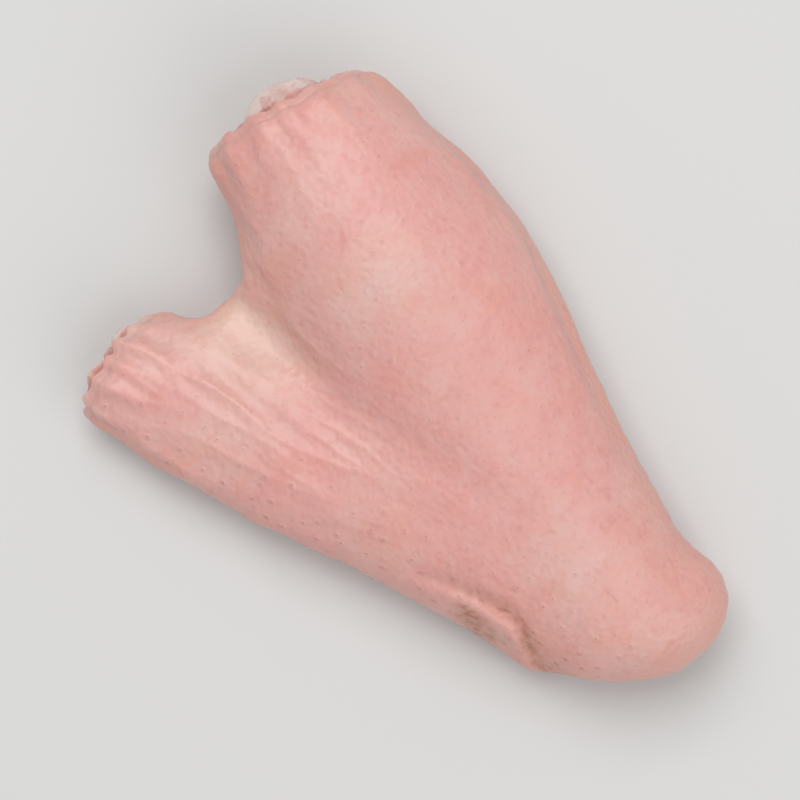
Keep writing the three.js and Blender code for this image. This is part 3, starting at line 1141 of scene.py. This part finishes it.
@dataclass(frozen=True)
class Relief:
    """All that is raised on the smooth form, in mm. The groove and the heel are those of the drumette.

    The groove's line is its level, the height of its wave and the length that its sine is measured in.
    """

    form: WingForm
    limb_folds: LimbFolds = LimbFolds()
    lumps: tuple[Layer, ...] = ((0.3, 1.0 / 13.0, 1), (0.1, 1.0 / 5.5, 2))
    gather_size: Place = (1.0 / 16.0, 17.0, 9.0)
    gather_height: float = 0.55
    gather_level: float = 9.0
    gather_fades: Pair = (15.0, 5.0)
    groove_depth: float = 0.65
    groove_width: float = 2.3
    groove_line: Place = (3.0, 1.5, 17.0)
    groove_side: Pair = (0.0, -5.0)
    groove_comes: Pair = (14.0, 30.0)
    groove_ends: Pair = (84.0, 62.0)
    heel_middle: Place = (4.0, -5.0, -4.0)
    heel_size: Place = (10.0, 9.0, 6.0)
    heel_ridges: Place = (5.5, 3.2, 3.0)
    heel_height: float = 0.4
    cut_depth: float = 1.3
    sinks: float = 0.25
    rests: Pair = (0.0, 1.2)

    def gathers(self, points: Array) -> Array:
        """How far the skin gathers of the web stand out: ridges that spread from the elbow.

        Args:
            points: places on the smooth form, (..., 3).

        Returns:
            The height in mm, none where the web is thick with muscle or far from its middle level.
        """
        away = points - self.form.elbow
        turn = np.arctan2(away[..., 0], away[..., 1])
        out = np.hypot(away[..., 0], away[..., 1])
        slack = ease(*self.gather_fades, np.abs(points[..., 2] - self.gather_level))
        shown = self.gather_height * self.form.web_thinness(points) * slack
        return shown * ridges(np.stack([turn, out, points[..., 2]], axis=-1), self.gather_size, 3)

    def groove(self, points: Array) -> Array:
        """How deep the groove between the muscles is: a bell curve across a line that waves by a sine.

        Args:
            points: places on the smooth form, (..., 3).

        Returns:
            The depth in mm, none on the inner side and at the ends.
        """
        along, across, upwards = self.form.drumette.coordinates(points)
        level, wave, length = self.groove_line
        shown = ease(*self.groove_side, across) * ease(*self.groove_comes, along)
        shown = shown * ease(*self.groove_ends, along)
        aside = upwards - level - wave * np.sin(along / length)
        return self.groove_depth * bell(aside, self.groove_width) * shown

    def rise(self, points: Array, hollow: bool = True) -> Array:
        """How far the skin stands out of the smooth form.

        The sum of lumps, gathers, both limbs' folds and the heel's wrinkles, less the groove and the sunken
        cuts. It is sunk a little so that it stays in the part's box, and fades where the wing rests.

        Args:
            points: places on the smooth form, (..., 3).
            hollow: whether the cuts are sunk.

        Returns:
            The height in mm.
        """
        form = self.form
        total = layered(points, self.lumps) + self.gathers(points) - self.groove(points)
        for limb, seed in ((form.drumette, 4), (form.flat, 5)):
            total = total + self.limb_folds.height(limb, points, seed)
            if hollow:
                total = total - self.cut_depth * form.cut_share(limb, points)
        heel = blob(points, form.drumette.origin + self.heel_middle, self.heel_size)
        total = total + self.heel_height * heel * ridges(points, self.heel_ridges, 9)
        return (total - self.sinks) * ease(*self.rests, points[..., 2])


@dataclass(frozen=True)
class BrownAndPaintedShade:
    """Brown in the crease and on the edge of the skin roll beside it: partly the skin's own brown, partly
    painted shade in the crease and a painted shadow on the roll's edge. Sizes are in mm.

    The patch's middle and half-widths are given along x and y.
    """

    line_share: float = 0.52
    line_width: float = 0.9
    halo_share: float = 0.18
    halo_width: float = 1.8
    halo_inset: float = 1.0
    patch_share: float = 1.15
    patch_middle: Pair = (-14.6, -24.6)
    patch_half: Pair = (1.3, 4.0)
    patch_bend: float = 0.03
    patch_climbs: Pair = (1.0, 4.0)
    evenness: float = 0.75
    speckles: tuple[Layer, ...] = ((0.45, 1.0 / 2.6, 41), (0.3, 1.0 / 1.3, 42))
    darkest: float = 0.85

    def share(self, points: Array, across: Array, brown_and_shade: Array) -> Array:
        """How brown the skin is, with the painted shade in the crease and on the roll's edge.

        A bell curve across the crease's line with a softer one beside it, and a patch that is a bell curve
        across a bent line and a flat-topped one along it, all broken up by noise.

        Args:
            points: places on the smooth form, (n, 3).
            across: how far they lie from the crease's line.
            brown_and_shade: how far along its length the crease is brown.

        Returns:
            The share of the brown.
        """
        x, y, z = points[:, 0], points[:, 1], points[:, 2]
        # Along the crease's line: brown with painted crease shade
        line = self.line_share * bell(across, self.line_width)
        halo = self.halo_share * bell(across - self.halo_inset, self.halo_width)
        # The patch on the roll's edge: brown with a painted shadow
        lengthways = y - self.patch_middle[1]
        sideways = x - self.patch_middle[0] - self.patch_bend * lengthways ** 2
        patch = bell(sideways, self.patch_half[0]) * bell((lengthways / self.patch_half[1]) ** 2, 1.0)
        patch = self.patch_share * patch * ease(*self.patch_climbs, z)
        patchy = self.evenness + layered(points, self.speckles)
        return np.clip((brown_and_shade * (line + halo) + patch) * patchy, 0.0, self.darkest)


@dataclass(frozen=True)
class Complexion:
    """Where the skin is warm, thin, brown or pricked, with its painted bounce light and painted shade, for
    its finish to read. Sizes are in mm.
    """

    # The crease's brown and its painted shade
    stain: BrownAndPaintedShade = BrownAndPaintedShade()
    # Slopes whose sides get painted bounce light, warm in tone
    side: Pair = (0.85, 0.1)
    under: Pair = (-0.9, -0.2)
    heel_middle: Place = (3.0, -5.0, 6.0)
    heel_size: Place = (9.0, 9.0, 9.0)
    heel_share: float = 0.5
    beside_share: float = 0.5
    beside_inset: float = 2.5
    beside_width: float = 3.0
    off_limb: Pair = (-1.0, 4.0)
    follicles_under: Pair = (-0.9, 0.0)
    follicles_least: float = 0.4
    trailing: Pair = (2.0, -9.0)
    on_flat: Pair = (4.0, 0.0)

    def measures(self, form: WingForm, points: Array, normals: Array) -> dict[str, Array]:
        """What the skin's finish reads at each point.

        The rim is the share of a sideways slope, which is painted bounce light on the sides, plus bell curves
        of the skin's warm colour at the heel and beside the crease. Thin is the web's thinness away from both
        limbs. Follicles are the most on the flat's trailing side.

        Args:
            form: the wing's form.
            points: places on it, (n, 3).
            normals: its outward directions there, (n, 3).

        Returns:
            Shares from 0 to 1 by name.
        """
        slope = normals[:, 2]
        to_flat, to_drumette = form.flat.distance(points), form.drumette.distance(points)
        across, _, brown_and_shade = form.crease.offset(form.flat, points)
        heel = blob(points, form.drumette.origin + self.heel_middle, self.heel_size)
        beside = self.beside_share * brown_and_shade * bell(across - self.beside_inset, self.beside_width)
        # Warm on sideways slopes is painted bounce light; warm at the heel and beside the crease is the
        # skin's own colour
        rim = ease(*self.side, slope) * ease(*self.under, slope) + self.heel_share * heel + beside
        free = ease(*self.off_limb, to_flat) * ease(*self.off_limb, to_drumette)
        inwards = form.flat.coordinates(points)[1]
        trailing = ease(*self.trailing, inwards) * ease(*self.on_flat, to_flat)
        pricked = self.follicles_least + (1.0 - self.follicles_least) * trailing
        return {
            "thin": form.web_thinness(points) * free,
            "rim": np.clip(rim, 0.0, 1.0),
            # Brown with painted crease shade and a painted shadow on the roll's edge
            "crease": self.stain.share(points, across, brown_and_shade),
            "follicle": ease(*self.follicles_under, slope) * pricked,
        }


@dataclass
class Skin:
    """The skin: one closed sheet round the whole wing, with its relief raised on the smooth form.

    The core that its rays leave from is a flat shape kept well inside the flesh, in the plane of the bones.
    Its corners are given on each limb as a share of the limb's reach and the mm towards the fold.
    """

    form: WingForm
    relief: Relief
    complexion: Complexion = Complexion()
    columns: int = 560
    base_rows: int = 26
    side_rows: int = 86
    top_rows: int = 58
    turn_radius: float = 5.0
    core_rounding: float = 2.2
    drumette_corners: tuple[Pair, ...] = (
        (-0.055, 3.5), (-0.03, -2.5), (0.1, -4.5), (0.4, -5.0),
        (0.68, -6.0), (0.86, -5.0), (0.9, 0.0), (0.86, 5.0))
    flat_corners: tuple[Pair, ...] = (
        (0.87, 3.5), (0.91, 0.0), (0.87, -3.5), (0.65, -5.0), (0.35, -5.0), (0.08, -4.0))
    notch_inset: float = 5.0
    notch_y: float = 28.0
    seam_low: Pair = (0.5, 2.0)
    seam_high: Pair = (1.0, -17.0)
    head_room: float = 4.2

    def core_edge(self, samples: int = 2400) -> tuple[Array, Array]:
        """The core's edge and its outward directions.

        The closed polygon through the core's corners is sampled evenly and rounded by a periodic Gaussian
        average. The outward direction is the tangent turned a quarter right.

        Args:
            samples: how many points the curve gets.

        Returns:
            Points on the plane of the bones, and level unit vectors.
        """
        form = self.form
        corners = [form.drumette.core(share, inwards) for share, inwards in self.drumette_corners]
        corners += [np.array([form.web_middle, form.web_end - self.notch_inset, 0.0])]
        corners += [form.flat.core(share, inwards) for share, inwards in self.flat_corners]
        ring = np.array(corners + corners[:1])[:, :2]
        run = np.concatenate([[0.0], np.cumsum(np.linalg.norm(np.diff(ring, axis=0), axis=1))])
        even = np.linspace(0.0, run[-1], samples, endpoint=False)
        plan = np.column_stack([np.interp(even, run, side) for side in ring.T])
        waves = np.fft.fftfreq(samples, run[-1] / samples) * FULL_TURN
        keep = np.exp(-0.5 * (waves * self.core_rounding) ** 2)[:, None]
        plan = np.fft.ifft(np.fft.fft(plan, axis=0) * keep, axis=0).real
        tangent = unit(np.roll(plan, -1, axis=0) - np.roll(plan, 1, axis=0))
        outward = np.stack([tangent[:, 1], -tangent[:, 0], np.zeros(samples)], axis=1)
        height = form.bone_height(plan[:, 0], plan[:, 1])
        return np.column_stack([plan, height]), outward

    def stations(self) -> tuple[Array, Array]:
        """Columns' places on the core's edge.

        They are spaced evenly by the length of the rim outside plus a share for each turn, with one half of
        the columns before the web's notch and one after it.

        Returns:
            The core points and the outward directions.
        """
        core, outward = self.core_edge()
        rim = self.form.surface(core, outward)
        turn = np.arccos(np.clip(np.sum(outward * np.roll(outward, -1, axis=0), axis=1), -1.0, 1.0))
        steps = np.linalg.norm(np.roll(rim, -1, axis=0) - rim, axis=1) + self.turn_radius * turn
        run = np.concatenate([[0.0], np.cumsum(steps)])
        notch = int(np.argmin(np.hypot(core[:, 0] - self.form.web_middle, core[:, 1] - self.notch_y)))
        half = self.columns // 2
        wanted = np.concatenate([
            np.linspace(0.0, run[notch], half, endpoint=False),
            np.linspace(run[notch], run[-1], self.columns - half, endpoint=False),
        ])
        closed = np.vstack([core, core[:1]]), np.vstack([outward, outward[:1]])
        core, outward = (np.column_stack([np.interp(wanted, run, side) for side in c.T]) for c in closed)
        return core, unit(outward)

    def grid(self) -> tuple[Array, Array]:
        """The smooth surface as rows and columns of points, and its flat chart in mm.

        Rows climb from the seam under the base, round the side, to the seam on top. Their rays go straight
        down from the core, fan round its edge and go straight up. The chart keeps the top as seen in plan and
        unrolls the side outwards by its length, so that a pattern on it follows the skin.

        Returns:
            Points, (rows, columns, 3), and chart places, (rows, columns, 2).
        """
        form = self.form
        core, outward = self.stations()
        share = np.arange(self.columns) / self.columns
        straight = 1.0 - np.abs(1.0 - 2.0 * share)
        eased = (1.0 - np.cos(FULL_TURN * share)) / 2.0
        along = ((straight + eased) / 2.0)[:, None]
        low_end = form.elbow + np.array([*self.seam_low, 0.0])
        high_end = np.array([form.web_middle + self.seam_high[0], form.web_end + self.seam_high[1], 0.0])
        seam = low_end * (1.0 - along) + high_end * along
        base = np.linspace(0.0, 1.0, self.base_rows, endpoint=False)
        side = np.linspace(0.0, 1.0, self.side_rows + 1)
        top = np.linspace(1.0, 0.0, self.top_rows + 1)[1:]
        outness = np.concatenate([base, np.ones(self.side_rows + 1), top])[:, None, None]
        angle = np.pi * (np.concatenate([np.zeros(self.base_rows), side, np.ones(self.top_rows)]) - 0.5)
        origins = seam * (1.0 - outness) + core * outness
        origins[..., 2] = form.bone_height(origins[..., 0], origins[..., 1])
        directions = outward * np.cos(angle)[:, None, None] + UP * np.sin(angle)[:, None, None]
        points = form.surface(origins, unit(directions))
        steps = np.linalg.norm(np.diff(points, axis=0), axis=-1)
        crest = self.base_rows + self.side_rows
        fallen = np.zeros((*points.shape[:2], 1))
        fallen[:crest, :, 0] = np.cumsum(steps[:crest][::-1], axis=0)[::-1]
        unrolled = core[:, :2] + outward[:, :2] * fallen
        return points, np.where(fallen > 0.0, unrolled, origins[..., :2])

    def build(self, placing: Placing, finish: Material) -> Piece:
        """Makes the skin, raises its relief and stores what its finish reads.

        Args:
            placing: where the form goes, set here from the smooth surface's box and the drumette's bone end.
            finish: the skin's material.

        Returns:
            The skin's object.
        """
        points, chart = self.grid()
        smooth = points.reshape(-1, 3)
        bone_end = self.form.drumette.tip + self.form.drumette.along * self.head_room
        placing.fit(np.vstack([smooth, bone_end]))
        normals = self.form.normals(smooth)
        raised = placing.squeeze(smooth + normals * self.relief.rise(smooth)[:, None])
        measures = self.complexion.measures(self.form, smooth, normals)
        return make_shell("wing_skin", placing, raised.reshape(points.shape), finish, measures, chart)


class CutKind(Enum):
    """Which cut a dressing belongs to."""

    SHOULDER = "shoulder"
    WRIST = "wrist"


@dataclass
class BoneEnd:
    """The rounded end of a bone under its cap of cartilage, standing out of a cut.

    Sizes are in mm and radians, and shares of the radius. The lumps are the height and the rate of a noise.
    """

    name: str
    limb: Limb
    radius: float
    depth: float
    inwards: float
    lift: float
    squash: float
    lobe: Place = (-0.8, 0.45, 0.4)
    lobe_rise: float = 0.08
    lobe_width: float = 0.5
    groove: float = 0.1
    groove_turn: float = 0.85
    groove_width: float = 0.24
    lumps: Pair = (0.025, 2.1)
    dimples: tuple[Layer, ...] = ((0.006, 7.0, 18),)
    largest: float = 1.03
    cap: Pair = (0.3, 0.7)
    rows: int = 56
    columns: int = 96

    def middle(self) -> Array:
        """The middle of the rounded end."""
        limb = self.limb
        return limb.tip - self.depth * limb.along + self.inwards * limb.inwards + self.lift * limb.lift

    def beside(self, points: Array, sunken: float) -> Array:
        """How far points lie outside the bone's outline where it leaves the flesh.

        The outline is the circle in which the flesh's plane cuts the ball, squashed like the ball.

        Args:
            points: places in mm, (..., 3).
            sunken: how far the flesh lies below the cut, in mm.

        Returns:
            The distance in mm.
        """
        away = points - self.middle()
        across, upwards = away @ self.limb.inwards, away @ self.limb.lift / self.squash
        waist = np.sqrt(max(self.radius ** 2 - (self.depth - sunken) ** 2, 0.0))
        return np.hypot(across, upwards) - waist

    def build(self, placing: Placing, finish: Material) -> Piece:
        """An oval ball with a small lobe at one end and a groove round the lobe.

        Each point lies in its direction at the radius, times one plus a bump that falls off with the angle
        from the lobe's middle, less a narrower dip in a ring round it, plus a little noise.

        Args:
            placing: where the form goes.
            finish: the material.

        Returns:
            The bone end's object.
        """
        limb = self.limb
        slope = np.linspace(np.pi, 0.0, self.rows)[:, None]
        turn = np.linspace(0.0, FULL_TURN, self.columns, endpoint=False)[None, :]
        out = np.sin(slope) * np.ones_like(turn)
        away = np.cos(slope) * np.ones_like(turn)
        local = np.stack([out * np.cos(turn), out * np.sin(turn), away], axis=-1)
        angle = np.arccos(np.clip(local @ unit(np.array(self.lobe)), -1.0, 1.0))
        size = 1.0 + self.lobe_rise * bell(angle, self.lobe_width)
        size = size - self.groove * bell(angle - self.groove_turn, self.groove_width) * out
        height, rate = self.lumps
        size = size + height * noise(local * rate + self.radius, 17) + layered(local, self.dimples)
        axes = np.stack([limb.inwards, limb.lift * self.squash, limb.along])
        points = self.middle() + self.radius * (local * np.minimum(size, self.largest)[..., None]) @ axes
        return make_shell(self.name, placing, points, finish, {"cap": ease(*self.cap, away)})


@dataclass
class Cut:
    """A knife cut through a limb: the lip of skin round it and the flesh inside, round the ends of the bones.

    Sizes are in mm, shares of the opening or radians. The lip's profile is given as knots across the skin, in
    widths of the lip from the opening's edge outwards, and up from it, in heights of the lip.
    """

    kind: CutKind
    form: WingForm
    limb: Limb
    bones: tuple[BoneEnd, ...]
    opening: float
    lip_width: float
    lip_height: float
    bulge: float
    seams: int
    sunken: float = 0.9
    turns: int = 300
    start_depth: float = 10.0
    end_reach: float = 16.0
    outline_waver: tuple[Layer, ...] = ((0.07, 1.3, 7), (0.04, 4.0, 8))
    lip_profile: tuple[Pair, ...] = (
        (1.0, -1.3), (0.86, -0.3), (0.6, 0.4), (0.3, 0.85), (0.05, 1.0), (-0.2, 0.6),
        (-0.28, 0.0), (-0.2, -0.9), (-0.05, -2.2), (0.15, -2.6), (0.5, -2.4), (0.9, -2.2))
    lip_limit: float = 0.965
    width_waver: tuple[Layer, ...] = ((0.45, 2.6, 11),)
    height_waver: tuple[Layer, ...] = ((0.5, 3.4, 12), (0.3, 9.0, 13))
    edge_waver: tuple[Layer, ...] = ((0.3, 3.0, 19), (0.22, 8.0, 20))
    edge_fades: Pair = (0.6, 0.0)
    fatty_edge: Pair = (0.75, -0.1)
    edge_rim: float = 0.25
    edge_fat: float = 0.95
    front_rows: int = 64
    back_rows: int = 11
    back_depth: float = 3.0
    dome_power: float = 0.6
    seam_wander: tuple[Layer, ...] = ((1.1, 1.0 / 6.0, 14),)
    seam_reach: float = 6.0
    seam_width: float = 0.5
    seam_depth: float = 0.5
    seam_starts: Pair = (0.1, 0.4)
    seam_kept: Pair = (-0.35, 0.2)
    seam_layers: tuple[Layer, ...] = ((1.0, 1.6, 21),)
    seam_spread: float = 0.4
    bundles: tuple[Layer, ...] = ((0.24, 1.0 / 1.9, 15),)
    bundle_size: Place = (1.1, 1.1, 1.1)
    bundle_height: float = 0.14
    torn: tuple[Layer, ...] = ((0.9, 1.0 / 1.7, 22),)
    torn_level: float = 0.6
    torn_most: float = 1.2
    collar_height: float = 0.9
    collar_gap: float = 0.3
    collar_width: float = 0.75
    seam_sheath: float = 0.6
    collar_sheath: float = 0.75
    sheath_most: float = 0.9

    def outline(self, turn: Array) -> Array:
        """The opening's uneven edge, as a share of the limb's half-axes, at each turn in radians."""
        return self.opening * (1.0 + layered(on_circle(turn, float(self.seams)), self.outline_waver))

    def on_end(self, share: Array, turn: Array) -> Array:
        """Points on the limb's cut end, found by rays along the bone.

        Args:
            share: how far out of the middle, as a share of the opening.
            turn: the turn round the bone in radians.

        Returns:
            Points on the smooth form.
        """
        limb = self.limb
        out = share * self.outline(turn)
        across = (out * limb.half_width.cut * np.cos(turn))[..., None] * limb.inwards
        upwards = (out * limb.half_thickness.cut * np.sin(turn))[..., None] * limb.lift
        origins = limb.tip - self.start_depth * limb.along + across + upwards
        return self.form.surface(origins, np.broadcast_to(limb.along, origins.shape), self.end_reach)

    def rounded_profile(self) -> Array:
        """The lip's profile, a closed ring of knots whose corners are cut at a quarter of each side, twice.

        Returns:
            Points across and up, (n, 2).
        """
        knots = np.array(self.lip_profile)
        for _ in range(2):
            after = np.roll(knots, -1, axis=0)
            quarters = [0.75 * knots + 0.25 * after, 0.25 * knots + 0.75 * after]
            knots = np.stack(quarters, axis=1).reshape(-1, 2)
        return np.vstack([knots, knots[:1]])

    def lip(self, placing: Placing, relief: Relief, finish: Material) -> Piece:
        """The cut edge of the skin: a thin fold that lies on the skin and turns in over the flesh.

        Its profile is carried round the opening along the skin's own surface and relief. Its width, height
        and inner edge wander with noise. It is fatty at its inner edge and has no follicles.

        Args:
            placing: where the form goes.
            relief: what is raised on the skin that it lies on.
            finish: the material.

        Returns:
            The lip's object.
        """
        turn = np.linspace(0.0, FULL_TURN, self.turns, endpoint=False)[None, :]
        ring = on_circle(turn, 0.0)
        mean = self.opening * np.sqrt(self.limb.half_width.cut * self.limb.half_thickness.cut)
        width = self.lip_width * (1.0 + layered(ring, self.width_waver)) / mean
        width = np.minimum(width, self.lip_limit / self.outline(turn) - 1.0)
        height = self.lip_height * (1.0 + layered(ring, self.height_waver))
        inward = layered(ring, self.edge_waver) / mean
        across, upwards = np.split(self.rounded_profile(), 2, axis=1)
        share = 1.0 + across * width + inward * ease(*self.edge_fades, across)
        base = self.on_end(share, np.broadcast_to(turn, share.shape))
        raised = relief.rise(base, hollow=False) + upwards * height
        points = base + raised[..., None] * self.form.normals(base)
        edge = ease(*self.fatty_edge, across * np.ones_like(turn))
        measures = {"rim": self.edge_rim * edge, "thin": self.edge_fat * edge}
        measures |= {"crease": np.zeros(edge.shape), "follicle": np.zeros(edge.shape)}
        return make_shell(f"{self.kind.value}_skin_lip", placing, points, finish, measures)

    def flesh(self, placing: Placing, finish: Material) -> Piece:
        """The cut flesh: a lens whose front bulges out of the cut and creases between the muscles.

        The seams are bell curves across lines from the middle, where the sine of half the turn times their
        number is nought, wandering and broken by noise. A collar of torn membrane rises round each bone, as a
        bell curve of the distance from the bone's outline.

        Args:
            placing: where the form goes.
            finish: the material.

        Returns:
            The flesh's object.
        """
        front, back = np.linspace(0.0, 1.0, self.front_rows), np.linspace(1.0, 0.0, self.back_rows + 1)[1:]
        behind = np.linspace(0.0, self.back_depth, self.back_rows + 1)[1:]
        depth = np.concatenate([np.zeros(self.front_rows), behind])[:, None]
        turn = np.linspace(0.0, FULL_TURN, self.turns, endpoint=False)[None, :]
        share, turn = np.broadcast_arrays(np.concatenate([front, back])[:, None], turn)
        points = self.on_end(share, turn)
        dome = self.bulge * (1.0 - share ** 2) ** self.dome_power
        wander = turn + layered(points, self.seam_wander)
        aside = np.abs(np.sin(wander * self.seams / 2.0)) * share * self.seam_reach
        kept = ease(*self.seam_kept, layered(on_circle(turn, share * self.seam_spread), self.seam_layers))
        seam = bell(aside, self.seam_width) * ease(*self.seam_starts, share) * kept
        bundles = layered(points, self.bundles) + self.bundle_height * ridges(points, self.bundle_size, 16)
        torn = np.clip(self.torn_level + layered(points, self.torn), 0.0, self.torn_most)
        beside = np.array([bone.beside(points, self.sunken) for bone in self.bones])
        collar = np.max(bell(beside - self.collar_gap, self.collar_width), axis=0) * torn
        height = dome - self.seam_depth * seam + bundles + self.collar_height * collar - depth - self.sunken
        points = points + height[..., None] * self.limb.along
        sheath = np.clip(self.seam_sheath * seam + self.collar_sheath * collar, 0.0, self.sheath_most)
        return make_shell(f"{self.kind.value}_flesh", placing, points, finish, {"sheath": sheath})


# The studio


@dataclass(frozen=True)
class Lamp:
    """A square soft light, in metres and watts, that is turned to the wing."""

    name: str
    place: Place
    size: float
    watts: float

    def hang(self) -> None:
        """Makes the light."""
        data = bpy.data.lights.new(self.name, "AREA")
        data.shape = "SQUARE"
        data.size = self.size
        data.energy = self.watts
        light = show(self.name, data)
        light.location = self.place
        light.rotation_euler = (-Vector(self.place)).to_track_quat("-Z", "Y").to_euler()


@dataclass
class Studio:
    """A pale floor, soft light and a camera that looks straight down, turned as the wing lies. In metres."""

    floor_half: float = 1.5
    view_width: float = 0.114
    view_middle: Pair = (0.0011, 0.0055)
    camera_turn_deg: float = -45.0
    lens_mm: float = 200.0
    sensor_mm: float = 36.0
    far_end: float = 20.0
    lamps: tuple[Lamp, ...] = (
        Lamp("key light", (0.19, 0.34, 0.8), 0.6, 4.5),
        Lamp("fill light", (-0.04, -0.58, 0.62), 0.95, 2.9),
    )
    sky: str = "#ffffff"
    sky_strength: float = 0.42

    def build(self) -> None:
        """Makes the floor, the lights, the sky and the camera."""
        self.lay_floor()
        for lamp in self.lamps:
            lamp.hang()
        self.light_sky()
        self.set_camera()
        view = bpy.context.scene.view_settings
        view.view_transform = "Standard"
        view.look = "None"

    def lay_floor(self) -> None:
        """The floor: a square sheet at the height of the wing's base."""
        half = self.floor_half
        corners = np.array([[-half, -half, 0.0], [half, -half, 0.0], [half, half, 0.0], [-half, half, 0.0]])
        floor = make_sheet("floor", corners, np.array([[0, 1, 2, 3]]), PaleFloor().build())

    def light_sky(self) -> None:
        """An even white sky that fills the shadows."""
        world = bpy.data.worlds.new("studio sky")
        world.use_nodes = True
        background = world.node_tree.nodes["Background"]
        background.inputs["Color"].default_value = linear(self.sky)
        background.inputs["Strength"].default_value = self.sky_strength
        bpy.context.scene.world = world

    def set_camera(self) -> None:
        """A long lens over the wing, so that the view is as good as square to the floor."""
        data = bpy.data.cameras.new("camera")
        data.lens = self.lens_mm
        data.sensor_width = self.sensor_mm
        data.clip_end = self.far_end
        height = self.view_width * self.lens_mm / self.sensor_mm
        camera = show("camera", data)
        turn = math.radians(self.camera_turn_deg)
        place = Vector((*self.view_middle, height))
        camera.matrix_world = Matrix.Translation(place) @ Matrix.Rotation(turn, 4, "Z")
        bpy.context.scene.camera = camera


def put_on_wing(piece: Piece) -> None:
    """Makes a piece ride on the wing's body and logs how many vertices and faces it has.

    Args:
        piece: the piece.
    """
    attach(piece, BODY)
    LOG.info("%s: %d vertices, %d faces", piece.name, len(piece.data.vertices), len(piece.data.polygons))


def main() -> None:
    """Builds the wing's skin, its two cuts, the bone ends and the studio."""
    logging.basicConfig(level=logging.INFO, format="%(message)s")
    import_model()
    form = WingForm()
    relief = Relief(form)
    placing = Placing(*(np.array(corner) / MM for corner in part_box(NODE)))
    skin_finish = RawSkin().build()
    flesh_finish = CutFlesh().build()
    cartilage_finish = Cartilage().build()

    wing = Skin(form, relief).build(placing, skin_finish)
    put_on_wing(wing)
    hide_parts(NODE)

    head = BoneEnd("humerus_head", form.drumette, radius=7.2, depth=3.2, inwards=0.4, lift=0.0, squash=0.76)
    ulna = BoneEnd("ulna_end", form.flat, radius=3.9, depth=1.9, inwards=-2.4, lift=-0.2, squash=0.85,
                   lobe=(0.7, -0.5, 0.5), lobe_rise=0.06, groove=0.12)
    radius = BoneEnd("radius_end", form.flat, radius=2.8, depth=1.5, inwards=3.2, lift=0.3, squash=0.9,
                     lobe=(0.2, 0.8, 0.5), lobe_rise=0.05, groove=0.08)
    shoulder = Cut(CutKind.SHOULDER, form, form.drumette, (head,),
                   opening=0.82, lip_width=2.0, lip_height=0.42, bulge=1.2, seams=5)
    wrist = Cut(CutKind.WRIST, form, form.flat, (ulna, radius),
                opening=0.8, lip_width=1.6, lip_height=0.36, bulge=0.9, seams=3)
    for cut in (shoulder, wrist):
        put_on_wing(cut.lip(placing, relief, skin_finish))
        put_on_wing(cut.flesh(placing, flesh_finish))
        for bone in cut.bones:
            put_on_wing(bone.build(placing, cartilage_finish))

    Studio().build()


if __name__ == "__main__":
    main()
